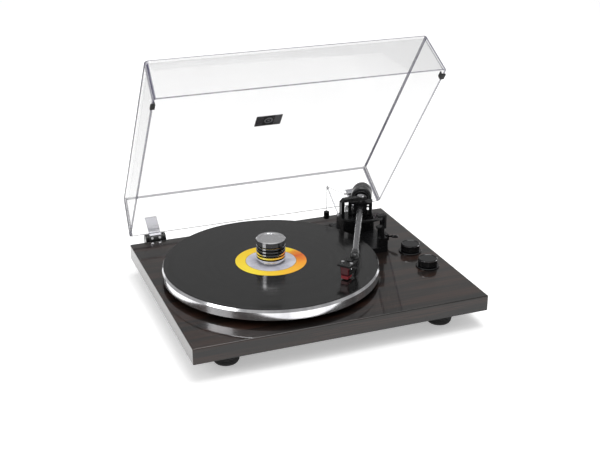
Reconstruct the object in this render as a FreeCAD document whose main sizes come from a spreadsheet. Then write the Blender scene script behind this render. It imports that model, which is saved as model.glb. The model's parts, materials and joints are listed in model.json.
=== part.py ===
import FreeCAD, Part
import math
import os
import re
import Sketcher

os.makedirs("parts", exist_ok=True)
doc = FreeCAD.newDocument("turntable")
Vector, Rotation, Placement = FreeCAD.Vector, FreeCAD.Rotation, FreeCAD.Placement

# Driving sizes in millimetres and degrees. Deck positions count from the plinth's left side (across),
# its front (deep) and its top face (up).
SIZES = {
    # plinth, cover and feet
    "plinth_width": 416, "plinth_depth": 344, "plinth_height": 22, "deck_thick": 6, "plinth_wall": 12,
    "plinth_round": 1.5, "cover_thick": 3, "cover_lip": 5, "cover_gap": 0.3,
    "foot_height": 25, "foot_radius": 20, "foot_base_radius": 15, "foot_side": 54, "foot_front": 38,
    "foot_bolt_radius": 2.5, "foot_recess_radius": 5.5, "foot_recess_deep": 12,
    # platter, drive and bearing
    "spindle_across": 162.3, "spindle_deep": 167.2, "platter_radius": 152.2, "platter_bevel": 2.2,
    "platter_bevel_high": 3.3, "platter_wall_high": 10.5, "platter_gap": 7.3, "platter_plate": 4,
    "platter_rim": 8, "spindle_radius": 3.6, "spindle_over": 12, "shaft_radius": 4, "running_gap": 0.05,
    "bush_radius": 7, "bush_flange": 13, "bush_flange_high": 2, "bush_floor": 1.4, "ball_radius": 2.4,
    "drive_radius": 75, "drive_rim": 3, "drive_rim_high": 8, "drive_hub_radius": 11, "drive_hub_high": 11,
    "pulley_radius": 7, "pulley_high": 6, "pulley_flange": 1.2, "pulley_reach": 110, "pulley_angle": 215,
    "belt_gap": 0.3, "belt_thick": 0.8, "belt_high": 3.6, "motor_radius": 18, "motor_shaft": 1.25,
    # record and stabiliser
    "record_radius": 150.8, "record_thick": 1.5, "label_radius": 50, "label_thick": 0.15,
    "record_hole_gap": 0.05, "stab_radius": 20.5, "stab_waist": 17, "stab_high": 35, "stab_rib": 1.6,
    # knobs
    "knob_across": 382.5, "knob_back_deep": 171.4, "knob_front_deep": 115.3, "knob_radius": 13.75,
    "knob_high": 10.6, "knob_lift": 2.4, "knob_ring_radius": 17, "knob_ring_high": 2,
    "knob_shaft_radius": 3, "knob_bush_radius": 4.5, "knob_bush_high": 4, "pot_side": 15, "pot_high": 8,
    # tonearm
    "arm_across": 340, "arm_deep": 259, "arm_up": 45, "arm_turn": 26.4, "tube_radius": 4.75,
    "tube_long": 172, "collar_radius": 5.6, "collar_long": 16, "offset_angle": 24, "shell_wide": 19,
    "shell_thick": 2.4, "shell_long": 33, "shell_start": 6, "neck_radius": 3.8, "neck_long": 7,
    "stylus_reach": 25,
    "cartridge_wide": 15, "cartridge_long": 22.8, "cartridge_high": 14, "stylus_gap": 0.1,
    "hub_wide": 20, "hub_long": 22, "hub_high": 10, "gimbal_wide": 36, "gimbal_deep": 16,
    "gimbal_high": 21, "gimbal_side": 5, "gimbal_plate": 3, "pivot_pin_radius": 1.5,
    "stub_radius": 4, "stub_long": 64, "weight_radius": 16, "weight_long": 30, "weight_back": 36,
    "dial_radius": 12, "dial_long": 4, "dial_gap": 0.5, "turn_gap": 0.3,
    # arm board, pillar and yoke
    "board_high": 8, "board_right": 360, "board_front": 201, "board_back": 294, "board_left": 303,
    "tongue_right": 351, "tongue_front": 182, "board_platter_gap": 4, "pillar_left": 33,
    "pillar_right": 18, "pillar_front": 14, "pillar_back": 17,
    "pillar_drop": 13, "yoke_post": 5, "yoke_deep": 9, "yoke_bar": 5, "yoke_bar_rise": 11.2,
    "yoke_over": 9, "screw_radius": 3, "screw_head": 5.2, "screw_head_high": 1.6,
    # anti-skating hook and weight
    "skate_rod": 0.9, "hook_boss_radius": 2.2, 
    "hook_across": 310.5, "hook_deep": 319, "hook_up": 58, "hook_ring": 2.6,
    "bob_radius": 4.4, "bob_high": 12, "bob_up": 6.5, "thread_radius": 0.3,
    # arm rest and lift
    "rest_reach": 71, "rest_post_radius": 3, "rest_deep": 8, "rest_wall": 3, "rest_reach_left": 5,
    "rest_gap": 0.6, "rest_over": 5, "rest_base_wide": 13, "rest_base_up": 21,
    "lift_across": 356, "lift_deep": 217, "lift_radius": 5.5,
    "lift_rod_radius": 2.5, "lift_bar_wide": 5, "lift_bar_high": 2.6, "lift_gap": 0.35,
    "lift_span": 78, "lift_start": 216, "lift_housing_high": 19, "lever_ahead": 10, "lever_swing": 27,
    "lever_up": 12.5, "lever_radius": 2, "lever_long": 9.5, "lever_rise": 11,
    "lever_grip": 2.4, "lever_grip_long": 7,
    # lid and hinges
    "lid_width": 414.4, "lid_depth": 337, "lid_height": 65, "lid_wall": 3, "lid_draft_side": 4.6,
    "lid_draft_end": 4.2, "lid_gap": 2.5, "lid_back_inset": 1.5, "lid_open": 53.14,
    "hinge_behind": 9.5, "hinge_below": 1, "hinge_across": 41, "hinge_knuckle": 8.6, "hinge_wide": 31,
    "hinge_ear": 5.2, "hinge_ear_gap": 0.3, "hinge_pin": 1.8, "hinge_plate": 3, "hinge_drop": 11,
    "hinge_plate_below": 0.7, "hinge_screw_apart": 11.7, "leaf_screw_radius": 1.9, "leaf_screw_deep": 2.6,
    "leaf_screw_proud": 0.4, "leaf_screw_turn": 19.4, "blade_low": 1,
    "socket_wide": 27, "socket_high": 25, "socket_thick": 6, "blade_wide": 18, "blade_thick": 1.5,
    "bumper_wide": 10, "bumper_front": 16, "bumper_thick": 2.3, "badge_wide": 40.5, "badge_deep": 23.5,
    "badge_thick": 0.8,
    # rear panel and electronics
    "panel_wide": 96, "panel_high": 15, "panel_thick": 2, "panel_right": 70, "jack_radius": 4.15,
    "jack_hole": 1.7, "jack_long": 9, "jack_pitch": 16, "jack_nut": 6, "inlet_hole": 2.9,
    "inlet_pin": 1, "post_radius": 3.5, "board_thin": 1.6, "board_wide": 84,
    "board_deep_size": 60, "standoff_radius": 3,
}

sheet = doc.addObject("Spreadsheet::Sheet", "Sizes")
for row, (word, size) in enumerate(SIZES.items(), 1):
    sheet.set(f"A{row}", word)
    sheet.set(f"B{row}", str(size))
    sheet.setAlias(f"B{row}", word)
doc.recompute()

DECK = "(foot_height + plinth_height)"
LID_YAW = "(plinth_depth + hinge_behind)"
LID_REACH = "(lid_back_inset + hinge_behind + lid_draft_end)"
LID_RISE = "(lid_gap + lid_height + hinge_below)"
BACK_MOST = f"({LID_YAW} - {LID_REACH} * cos(lid_open) + {LID_RISE} * sin(lid_open))"
PLATTER_TOP = "(platter_gap + platter_wall_high + platter_bevel_high)"
PLATTER_UNDER = f"({PLATTER_TOP} - platter_plate)"
RECORD_TOP = f"({PLATTER_TOP} + record_thick)"
DRIVE_LOW = f"({PLATTER_UNDER} - drive_rim_high)"
SHAFT_LOW = "(cover_thick + bush_floor + 2 * ball_radius + running_gap - plinth_height + cover_gap)"
SHELL_UNDER = "(0 - shell_thick)"
BOSS_LONG = "3.2"
PILLAR_TOP = "(arm_up - pillar_drop)"
YOKE_BAR_LOW = "(arm_up + yoke_bar_rise)"
WORD = re.compile(r"[a-z][a-z_]+")
NODES = []


def full(text):
    """An expression with the sheet's name put before each of its words."""
    return WORD.sub(lambda found: "Sizes." * (found.group() in SIZES) + found.group(), str(text))


def number(text):
    """What an expression comes to now."""
    return float(sheet.evalExpression(full(text)))


def bind(thing, **sizes):
    """Tie each property to its expression."""
    for name, text in sizes.items():
        thing.setExpression(name, full(text))
    return thing


def move(thing, across, deep, up, turn=None):
    """Place an object in its own group's frame."""
    if turn:
        thing.Placement = Placement(Vector(), turn)
    for side, text in zip("xyz", (across, deep, up)):
        thing.setExpression("Placement.Base." + side, full(text))
    return thing


def settle(thing, across, deep, up, turn=None):
    """Place a finished sub-part by its deck position and list it."""
    move(thing, f"{across} - plinth_width / 2", f"{deep} - {BACK_MOST} / 2", f"{up} + {DECK}", turn)
    NODES.append(thing)
    return thing


def about_x(angle):
    return Rotation(Vector(1, 0, 0), angle)


def about_y(angle):
    return Rotation(Vector(0, 1, 0), angle)


def about_z(angle):
    return Rotation(Vector(0, 0, 1), angle)


def make(kind, name, **sizes):
    return bind(doc.addObject("Part::" + kind, name), **sizes)


def box(name, wide, deep, high):
    return make("Box", name, Length=wide, Width=deep, Height=high)


def rod(name, radius, length):
    return make("Cylinder", name, Radius=radius, Height=length)


def join(name, *pieces):
    made = doc.addObject("Part::MultiFuse", name)
    made.Shapes = list(pieces)
    made.Refine = True
    return made


def cut(name, base, tool):
    made = doc.addObject("Part::Cut", name)
    made.Base = base
    made.Tool = tool
    return made


def group(name, *pieces):
    """Separate solids that share one node."""
    made = doc.addObject("Part::Compound", name)
    made.Links = list(pieces)
    return made


def body_of(name):
    return doc.addObject("PartDesign::Body", name)


def sketch_on(body, name, role):
    drawn = body.newObject("Sketcher::SketchObject", name)
    plane = next(o for o in body.Origin.OriginFeatures if o.Role == role)
    drawn.AttachmentSupport = [(plane, "")]
    drawn.MapMode = "FlatFace"
    return drawn


def pin_down(drawn, line, end, across, up):
    """Hold one end of a line at two expressions from the sketch's origin."""
    for kind, text, axis in (("DistanceX", across, -2), ("DistanceY", up, -1)):
        if text == "0":
            drawn.addConstraint(Sketcher.Constraint("PointOnObject", line, end, axis))
            continue
        held = drawn.addConstraint(Sketcher.Constraint(kind, -1, 1, line, end, number(text)))
        drawn.setExpression(f"Constraints[{held}]", full(text))


def outline(drawn, corners):
    """A closed run of straight lines through (across, up) pairs of expressions."""
    points = [Vector(number(a), number(b), 0) for a, b in corners]
    first = drawn.GeometryCount
    for start, end in zip(points, points[1:] + points[:1]):
        drawn.addGeometry(Part.LineSegment(start, end), False)
    for i, (a, b) in enumerate(corners):
        after = first + (i + 1) % len(corners)
        drawn.addConstraint(Sketcher.Constraint("Coincident", first + i, 2, after, 1))
        pin_down(drawn, first + i, 1, a, b)


def rectangle(drawn, left, low, right, high):
    outline(drawn, [(left, low), (right, low), (right, high), (left, high)])


def ring(drawn, across, up, radius):
    middle = Vector(number(across), number(up), 0)
    line = drawn.addGeometry(Part.Circle(middle, Vector(0, 0, 1), number(radius)), False)
    pin_down(drawn, line, 3, across, up)
    held = drawn.addConstraint(Sketcher.Constraint("Radius", line, number(radius)))
    drawn.setExpression(f"Constraints[{held}]", full(radius))


def turned(name, corners):
    """A body turned about its upright axis, from a (radius, height) outline."""
    body = body_of(name)
    drawn = sketch_on(body, name + "_profile", "XZ_Plane")
    outline(drawn, corners)
    spun = body.newObject("PartDesign::Revolution", name + "_turn")
    spun.Profile = drawn
    spun.ReferenceAxis = (drawn, ["V_Axis"])
    spun.Angle = 360
    return body


def padded(body, drawn, length):
    pad = body.newObject("PartDesign::Pad", drawn.Name + "_pad")
    pad.Profile = drawn
    return bind(pad, Length=length)


def pocketed(body, drawn, depth):
    """Cut into the body from a sketch on its face, and check that it cuts."""
    doc.recompute()
    before = body.Shape.Volume
    pocket = body.newObject("PartDesign::Pocket", drawn.Name + "_pocket")
    pocket.Profile = drawn
    pocket.Reversed = True
    bind(pocket, Length=depth)
    doc.recompute()
    if body.Shape.Volume >= before:
        raise ValueError(drawn.Name + " cuts nothing")
    return pocket


def rounded(body, radius, chosen):
    """Fillet the edges that a test picks."""
    doc.recompute()
    base = body.Tip
    edges = [f"Edge{i}" for i, e in enumerate(base.Shape.Edges, 1) if chosen(e)]
    fillet = body.newObject("PartDesign::Fillet", body.Name + "_fillet")
    fillet.Base = (base, edges)
    return bind(fillet, Radius=radius)


def is_upright(edge):
    return len(edge.Vertexes) == 2 and abs(edge.tangentAt(edge.FirstParameter).z) > 0.999


# ---- plinth, cover, feet ----

def plinth():
    body = body_of("plinth")
    block = sketch_on(body, "plinth_block", "XY_Plane")
    rectangle(block, "0", "0", "plinth_width", "plinth_depth")
    padded(body, block, "plinth_height")
    rounded(body, "plinth_round", lambda e: is_upright(e) or e.BoundBox.ZMin > number("plinth_height") - 0.1)
    rebate = sketch_on(body, "plinth_rebate", "XY_Plane")
    edge = "(plinth_wall - cover_lip)"
    rectangle(rebate, edge, edge, f"plinth_width - {edge}", f"plinth_depth - {edge}")
    pocketed(body, rebate, "cover_thick")
    hollow = sketch_on(body, "plinth_hollow", "XY_Plane")
    rectangle(hollow, "plinth_wall", "plinth_wall", "plinth_width - plinth_wall",
              "plinth_depth - plinth_wall")
    pocketed(body, hollow, "plinth_height - deck_thick")
    holes = sketch_on(body, "plinth_holes", "XY_Plane")
    ring(holes, "spindle_across", "spindle_deep", "bush_radius")
    ring(holes, PULLEY_ACROSS, PULLEY_DEEP, "3 * motor_shaft")
    for deep in KNOB_DEEP.values():
        ring(holes, "knob_across", deep, "knob_bush_radius")
    pocketed(body, holes, "plinth_height + 1")
    window = sketch_on(body, "plinth_window", "XZ_Plane")
    right = "(plinth_width - panel_right)"
    rectangle(window, f"{right} - panel_wide", "cover_thick + cover_gap", right,
              "cover_thick + cover_gap + panel_high")
    window.setExpression("AttachmentOffset.Base.z", full("0 - plinth_depth"))
    pocketed(body, window, "plinth_wall + 1")
    settle(body, "0", "0", "0 - plinth_height")


def cover():
    body = body_of("bottom_cover")
    sheet_sketch = sketch_on(body, "cover_sheet", "XY_Plane")
    edge = "(plinth_wall - cover_lip + cover_gap)"
    rectangle(sheet_sketch, edge, edge, f"plinth_width - {edge}", f"plinth_depth - {edge}")
    padded(body, sheet_sketch, "cover_thick")
    bolt_holes = sketch_on(body, "cover_holes", "XY_Plane")
    for across, deep in FEET.values():
        ring(bolt_holes, across, deep, "foot_bolt_radius")
    pocketed(body, bolt_holes, "cover_thick + 1")
    settle(body, "0", "0", "0 - plinth_height")


FEET = {
    "front_left": ("foot_side", "foot_front"),
    "front_right": ("(plinth_width - foot_side)", "foot_front"),
    "back_left": ("foot_side", "(plinth_depth - foot_front)"),
    "back_right": ("(plinth_width - foot_side)", "(plinth_depth - foot_front)"),
}


def feet():
    for place, (across, deep) in FEET.items():
        foot = turned("foot_" + place, [
            ("foot_bolt_radius", "foot_height"), ("foot_radius - 1", "foot_height"),
            ("foot_radius", "foot_height - 1"), ("foot_radius", "foot_height * 0.62"),
            ("foot_radius - 1.6", "foot_height * 0.58"), ("foot_radius - 1.6", "foot_height * 0.5"),
            ("foot_radius - 0.6", "foot_height * 0.46"), ("foot_radius - 1.2", "foot_height * 0.3"),
            ("foot_base_radius + 1.5", "1.5"), ("foot_base_radius", "0"),
            ("foot_recess_radius", "0"), ("foot_recess_radius", "foot_recess_deep"),
            ("foot_bolt_radius", "foot_recess_deep")])
        settle(foot, across, deep, "0 - plinth_height - foot_height")
    bolts = []
    for place, (across, deep) in FEET.items():
        shank = rod("bolt_shank_" + place, "foot_bolt_radius",
                    "foot_height - foot_recess_deep + cover_thick + 6")
        head = rod("bolt_head_" + place, "foot_recess_radius - 0.8", "3")
        move(shank, across, deep, "foot_recess_deep")
        move(head, across, deep, "foot_recess_deep - 3")
        nut = make("Prism", "bolt_nut_" + place, Circumradius="foot_bolt_radius * 1.9", Height="4")
        nut.Polygon = 6
        move(nut, across, deep, "foot_height + cover_thick")
        bolts.append(join("bolt_" + place, shank, head, nut))
    settle(group("foot_bolts", *bolts), "0", "0", "0 - plinth_height - foot_height")


# ---- platter, drive, bearing ----

PULLEY_ACROSS = "(spindle_across + pulley_reach * cos(pulley_angle))"
PULLEY_DEEP = "(spindle_deep + pulley_reach * sin(pulley_angle))"
PULLEY_LOW = f"({DRIVE_LOW} + 1)"


def on_spindle(body):
    settle(body, "spindle_across", "spindle_deep", "0")


def platter():
    outer = "(platter_radius - platter_bevel)"
    inner = "(platter_radius - platter_rim)"
    on_spindle(turned("platter", [
        ("spindle_radius", PLATTER_UNDER), ("spindle_radius", PLATTER_TOP), (outer, PLATTER_TOP),
        ("platter_radius", f"{PLATTER_TOP} - platter_bevel_high"), ("platter_radius", "platter_gap"),
        (inner, "platter_gap"), (inner, PLATTER_UNDER)]))


def sub_platter():
    inner = "(drive_radius - drive_rim)"
    disc_low = f"({PLATTER_UNDER} - 3)"
    hub_low = f"({PLATTER_UNDER} - drive_hub_high)"
    on_spindle(turned("sub_platter", [
        ("spindle_radius", hub_low), ("drive_hub_radius", hub_low), ("drive_hub_radius", disc_low),
        (inner, disc_low), (inner, DRIVE_LOW), ("drive_radius", DRIVE_LOW),
        ("drive_radius", PLATTER_UNDER), ("spindle_radius", PLATTER_UNDER)]))


def spindle():
    shoulder = f"({PLATTER_UNDER} - drive_hub_high)"
    top = f"({RECORD_TOP} + spindle_over)"
    on_spindle(turned("spindle", [
        ("0", SHAFT_LOW), ("shaft_radius - running_gap", SHAFT_LOW),
        ("shaft_radius - running_gap", shoulder), ("spindle_radius", shoulder),
        ("spindle_radius", f"{top} - 3"), ("spindle_radius * 0.4", top), ("0", top)]))


def bearing():
    low = "(cover_thick + cover_gap - plinth_height)"
    floor = f"({low} + bush_floor)"
    on_spindle(turned("bearing_bush", [
        ("0", low), ("bush_radius", low), ("bush_radius", "0"), ("bush_flange", "0"),
        ("bush_flange", "bush_flange_high"), ("shaft_radius", "bush_flange_high"),
        ("shaft_radius", floor), ("0", floor)]))
    ball = make("Sphere", "bearing_ball", Radius="ball_radius")
    settle(ball, "spindle_across", "spindle_deep", f"{floor} + ball_radius")


def motor():
    low = "(cover_thick + cover_gap - plinth_height)"
    can = turned("motor", [
        ("motor_shaft + running_gap", "0"), ("motor_radius", "0"),
        ("motor_radius", f"0 - deck_thick - {low}"),
        ("motor_shaft + running_gap", f"0 - deck_thick - {low}")])
    settle(can, PULLEY_ACROSS, PULLEY_DEEP, low)
    top = "(pulley_high)"
    low_end = f"({low} - {PULLEY_LOW} + 1)"
    waist = "pulley_radius"
    wheel = turned("pulley", [
        ("0", low_end), ("motor_shaft", low_end), ("motor_shaft", "0"),
        (f"{waist} + pulley_flange", "0"), (f"{waist} + pulley_flange", "0.6"), (waist, "1"),
        (waist, f"{top} - 1"), (f"{waist} + pulley_flange", f"{top} - 0.6"),
        (f"{waist} + pulley_flange", top), ("0", top)])
    settle(wheel, PULLEY_ACROSS, PULLEY_DEEP, PULLEY_LOW)


def loop_wire(big, small, reach):
    """The open belt line round two circles that are reach apart along X."""
    lean = math.acos((big - small) / reach)
    far = Vector(reach, 0, 0)
    big_top = Vector(big * math.cos(lean), big * math.sin(lean), 0)
    small_top = far + Vector(small * math.cos(lean), small * math.sin(lean), 0)
    mirror = [Vector(p.x, -p.y, 0) for p in (big_top, small_top)]
    return Part.Wire([
        Part.Arc(big_top, Vector(-big, 0, 0), mirror[0]).toShape(),
        Part.makeLine(mirror[0], mirror[1]),
        Part.Arc(mirror[1], far + Vector(small, 0, 0), small_top).toShape(),
        Part.makeLine(small_top, big_top)])


def belt():
    """A flat band that neither a primitive nor a sketched pad holds tangent to both wheels."""
    inner = [number("drive_radius + belt_gap"), number("pulley_radius + belt_gap")]
    outer = [r + number("belt_thick") for r in inner]
    reach = number("pulley_reach")
    faces = [Part.Face(loop_wire(*radii, reach)) for radii in (outer, inner)]
    band = doc.addObject("Part::Feature", "belt")
    band.Shape = faces[0].cut(faces[1]).extrude(Vector(0, 0, number("belt_high")))
    settle(band, "spindle_across", "spindle_deep", f"{PULLEY_LOW} + 1.2",
           about_z(number("pulley_angle")))


# ---- record and stabiliser ----

def record():
    hole = "(spindle_radius + record_hole_gap)"
    on_spindle(turned("record", [
        (hole, PLATTER_TOP), ("record_radius", PLATTER_TOP), ("record_radius", RECORD_TOP),
        (hole, RECORD_TOP)]))
    on_spindle(turned("record_label", [
        (hole, RECORD_TOP), ("label_radius", RECORD_TOP),
        ("label_radius", f"{RECORD_TOP} + label_thick"), (hole, f"{RECORD_TOP} + label_thick")]))


def stabiliser():
    """A turned weight: a ribbed head on a smooth waist, with a blind hole for the spindle."""
    hole = "(spindle_radius + running_gap)"
    depth = "(spindle_over + 2)"
    corners = [(hole, "0"), ("stab_waist", "0"), ("stab_waist", "stab_high * 0.42")]
    level = "stab_high * 0.42"
    for rib in range(5):
        low = f"({level} + {rib} * stab_high * 0.1)"
        corners += [("stab_radius - 1", low), ("stab_radius - 1", f"{low} + stab_high * 0.07"),
                    ("stab_radius - 1 - stab_rib", f"{low} + stab_high * 0.07"),
                    ("stab_radius - 1 - stab_rib", f"{low} + stab_high * 0.1")]
    corners += [("stab_radius", "stab_high * 0.92"), ("stab_radius", "stab_high - 1"),
                ("stab_radius - 1", "stab_high"), ("0", "stab_high"), ("0", depth), (hole, depth)]
    settle(turned("stabiliser", corners), "spindle_across", "spindle_deep",
           f"{RECORD_TOP} + label_thick")


# ---- knobs ----

KNOB_DEEP = {"back": "knob_back_deep", "front": "knob_front_deep"}


def knobs():
    collars = []
    pots = []
    low = "(0 - deck_thick - pot_high + 2)"
    for place, deep in KNOB_DEEP.items():
        collar = turned("knob_collar_" + place, [
            ("knob_bush_radius", "0"), ("knob_ring_radius", "0"),
            ("knob_ring_radius", "knob_ring_high - 0.7"), ("knob_ring_radius - 0.7", "knob_ring_high"),
            ("knob_bush_radius", "knob_ring_high")])
        collars.append(move(collar, "0", deep, "0"))
        inside = "(knob_bush_radius + turn_gap)"
        roof = "(knob_bush_high - knob_lift + turn_gap)"
        foot = f"({low} - knob_lift)"
        cap = turned("knob_" + place, [
            (inside, "0"), ("knob_radius", "0"), ("knob_radius", "knob_high - 1.2"),
            ("knob_radius - 1.2", "knob_high"), ("0", "knob_high"), ("0", foot),
            ("knob_shaft_radius", foot), ("knob_shaft_radius", roof), (inside, roof)])
        settle(cap, "knob_across", deep, "knob_lift")
        case = box("pot_case_" + place, "pot_side", "pot_side", "pot_high")
        move(case, "0 - pot_side / 2", f"{deep} - pot_side / 2", "0 - deck_thick - pot_high")
        bush = rod("pot_bush_" + place, "knob_bush_radius", "deck_thick + knob_bush_high")
        move(bush, "0", deep, "0 - deck_thick")
        bore = rod("pot_bore_" + place, "knob_shaft_radius + running_gap", "deck_thick + pot_high + 20")
        move(bore, "0", deep, f"{low} - running_gap")
        pots.append(cut("pot_" + place, join("pot_solid_" + place, case, bush), bore))
    settle(group("knob_rings", *collars), "knob_across", "0", "0")
    settle(group("knob_pots", *pots), "knob_across", "0", "0")


# ---- tonearm: everything here is drawn with the arm pointing forward from its upright pivot ----

ARM_YAW = about_z(-number("arm_turn"))
SHELL_OFFSET = about_z(-number("offset_angle"))
SHELL_YAW = ARM_YAW * SHELL_OFFSET
BEND_REACH = "(tube_long + collar_long)"


def on_arm(thing, up="0"):
    settle(thing, "arm_across", "arm_deep", f"arm_up + {up}", ARM_YAW)


def along(thing, reach, offset="0", up="0"):
    """Lay an upright rod along the arm, starting reach behind the pivot."""
    return move(thing, offset, reach, up, about_x(-90))


def arm_tube():
    half = "hub_long / 2"
    hub = box("hub_block", "hub_wide", "hub_long", "hub_high")
    move(hub, "0 - hub_wide / 2", f"0 - {half}", "0 - hub_high / 2")
    bore = move(rod("hub_bore", "pivot_pin_radius + running_gap", "hub_wide + 2"),
                "0 - hub_wide / 2 - 1", "0", "0", about_y(90))
    stub = along(rod("stub_rod", "stub_radius", "stub_long + 1"), f"{half} - 1")
    on_arm(cut("arm_hub", join("hub_solid", hub, stub), bore))
    length = f"tube_long - {half}"
    tube = along(rod("tube_rod", "tube_radius", length), "0 - tube_long")
    on_arm(group("arm_tube", tube))
    collar = along(rod("collar_rod", "collar_radius", "collar_long - 1"), f"1 - {BEND_REACH}")
    grip = along(rod("collar_grip", "collar_radius + 0.5", "5"), f"4 - {BEND_REACH}")
    elbow = move(make("Sphere", "collar_elbow", Radius="collar_radius"), "0", f"0 - {BEND_REACH}", "0")
    socket = move(rod("collar_socket", "neck_radius", "neck_long"), "0", f"0 - {BEND_REACH}", "0",
                  SHELL_OFFSET * about_x(90))
    on_arm(cut("arm_collar", join("collar_solid", collar, grip, elbow), socket))


def counterweight():
    bored = "(stub_radius + running_gap)"
    weight = turned("counterweight", [
        (bored, "0"), ("weight_radius - 1.5", "0"), ("weight_radius", "1.5"),
        ("weight_radius", "weight_long - 2"), ("weight_radius - 2", "weight_long"),
        (bored, "weight_long")])
    turn = ARM_YAW * about_x(-90)
    settle(weight, "arm_across + weight_back * sin(arm_turn)", "arm_deep + weight_back * cos(arm_turn)",
           "arm_up", turn)
    dial = turned("tracking_dial", [
        (bored, "0"), ("dial_radius", "0"), ("dial_radius + 0.8", "dial_long"), (bored, "dial_long")])
    reach = "(weight_back - dial_long - dial_gap)"
    settle(dial, f"arm_across + {reach} * sin(arm_turn)", f"arm_deep + {reach} * cos(arm_turn)",
           "arm_up", turn)


def in_shell(thing, up="0"):
    """Settle a piece drawn from the arm's bend, pointing forward."""
    settle(thing, f"arm_across - {BEND_REACH} * sin(arm_turn)",
           f"arm_deep - {BEND_REACH} * cos(arm_turn)", f"arm_up + {up}", SHELL_YAW)


def headshell():
    plate = box("shell_plate", "shell_wide", "shell_long - shell_start", "shell_thick")
    move(plate, "0 - shell_wide / 2", "0 - shell_long", SHELL_UNDER)
    neck = move(rod("shell_neck", "neck_radius", "neck_long"), "0", "0 - neck_long", "0", about_x(-90))
    rib = box("shell_rib", "shell_wide * 0.35", "shell_long * 0.35", "1.4")
    move(rib, "0 - shell_wide * 0.175", "0 - shell_long * 0.55", "0")
    solid = join("shell_solid", plate, neck, rib)
    slots = []
    for side in (-1, 1):
        slot = rod(f"shell_slot_{side + 1}", "1.3", "shell_thick + 2")
        slots.append(move(slot, f"{side * 6.35}", "0 - stylus_reach + 2", f"{SHELL_UNDER} - 1"))
    in_shell(cut("headshell", solid, join("shell_slots", *slots)))
    screws = []
    for side in (-1, 1):
        shank = rod(f"shell_shank_{side + 1}", "1.25", "shell_thick + 5")
        head = rod(f"shell_head_{side + 1}", "2.2", "1.6")
        move(shank, f"{side * 6.35}", "0 - stylus_reach + 2", f"{SHELL_UNDER} - 5")
        move(head, f"{side * 6.35}", "0 - stylus_reach + 2", "0")
        screws.append(join(f"shell_screw_{side + 1}", shank, head))
    in_shell(group("headshell_screws", *screws))
    blade = box("lift_blade", "13", "3.4", "1")
    move(blade, "shell_wide / 2", "0 - stylus_reach - 2", SHELL_UNDER)
    tip = box("lift_tip", "6", "3.4", "1")
    move(tip, "shell_wide / 2 + 12.6", "0 - stylus_reach - 2", f"{SHELL_UNDER} + 0.2", about_y(-28))
    in_shell(join("finger_lift", blade, tip))


def cartridge():
    case = box("cartridge_case", "cartridge_wide", "cartridge_long", "cartridge_high")
    top = f"({SHELL_UNDER})"
    front = "(0 - stylus_reach - 5)"
    move(case, "0 - cartridge_wide / 2", front, f"{top} - cartridge_high")
    bores = []
    for side in (-1, 1):
        bore = rod(f"cartridge_bore_{side + 1}", "1.3", "6")
        bores.append(move(bore, f"{side * 6.35}", "0 - stylus_reach + 2", f"{top} - 5.5"))
    in_shell(cut("cartridge", case, join("cartridge_bores", *bores)))
    drop = f"(arm_up - shell_thick - cartridge_high - {RECORD_TOP} - stylus_gap)"
    guard = box("guard_block", "cartridge_wide - 5", "12", f"{drop} - 1.6")
    move(guard, "0 - cartridge_wide / 2 + 2.5", front, f"{top} - cartridge_high - {drop} + 1.6")
    needle = make("Cone", "needle", Radius1="0.15", Radius2="0.9", Height="2.2")
    move(needle, "0", "0 - stylus_reach", f"{top} - cartridge_high - {drop}")
    in_shell(join("stylus", guard, needle))


def gimbal():
    low = f"({PILLAR_TOP} + 1)"
    half = "gimbal_wide / 2"
    frame = box("gimbal_block", "gimbal_wide", "gimbal_deep", "gimbal_high")
    move(frame, f"0 - {half}", "0 - gimbal_deep / 2", f"{low} - arm_up")
    hole = box("gimbal_hole", "gimbal_wide - 2 * gimbal_side", "gimbal_deep + 2",
               "gimbal_high - 2 * gimbal_plate")
    move(hole, f"gimbal_side - {half}", "0 - gimbal_deep / 2 - 1", f"{low} + gimbal_plate - arm_up")
    well = move(rod("gimbal_well", "screw_radius + running_gap", "gimbal_high + 10"), "0", "0",
                f"{low} - 5 - arm_up")
    across = move(rod("gimbal_cross", "pivot_pin_radius", "gimbal_wide + 2"), f"0 - {half} - 1", "0",
                  "0", about_y(90))
    post = box("skate_post", "2.4", "26", "2.4")
    move(post, f"0 - {half}", "gimbal_deep / 2 - 3", f"{low} + gimbal_high - 2.4 - arm_up")
    stub = rod("skate_stub_rod", "skate_rod", "10")
    move(stub, f"1.4 - {half}", "gimbal_deep / 2 + 21.4", f"{low} + gimbal_high - 1.2 - arm_up", about_y(-90))
    solid = join("gimbal_solid", frame, post, stub)
    on_arm(cut("gimbal", solid, join("gimbal_cuts", hole, well, across)))
    pins = []
    for side in (-1, 1):
        pin = rod(f"pivot_pin_rod_{side + 1}", "pivot_pin_radius", "gimbal_side + 5")
        start = f"0 - {half}" if side < 0 else f"{half} - gimbal_side - 5"
        pins.append(move(pin, start, "0", "0", about_y(90)))
    on_arm(group("pivot_pins", *pins))


# ---- arm board, pillar, yoke ----

def arm_board():
    """A board with a narrower tongue in front, whose left edge follows the platter."""
    slab = box("board_slab", "board_right - board_left", "board_back - board_front", "board_high")
    move(slab, "board_left", "board_front", "0")
    tongue = box("board_tongue", "tongue_right - board_left", "board_front - tongue_front + 1", "board_high")
    move(tongue, "board_left", "tongue_front", "0")
    bite = rod("board_bite", "platter_radius + board_platter_gap", "board_high + 2")
    move(bite, "spindle_across", "spindle_deep", "0 - 1")
    settle(cut("arm_board", join("board_solid", slab, tongue), bite), "0", "0", "0")


def pillar():
    body = body_of("arm_pillar")
    drawn = sketch_on(body, "pillar_plan", "XY_Plane")
    rectangle(drawn, "0 - pillar_left", "0 - pillar_front", "pillar_right", "pillar_back")
    padded(body, drawn, f"{PILLAR_TOP} - board_high")
    rounded(body, "3", is_upright)
    settle(body, "arm_across", "arm_deep", "board_high")


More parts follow.
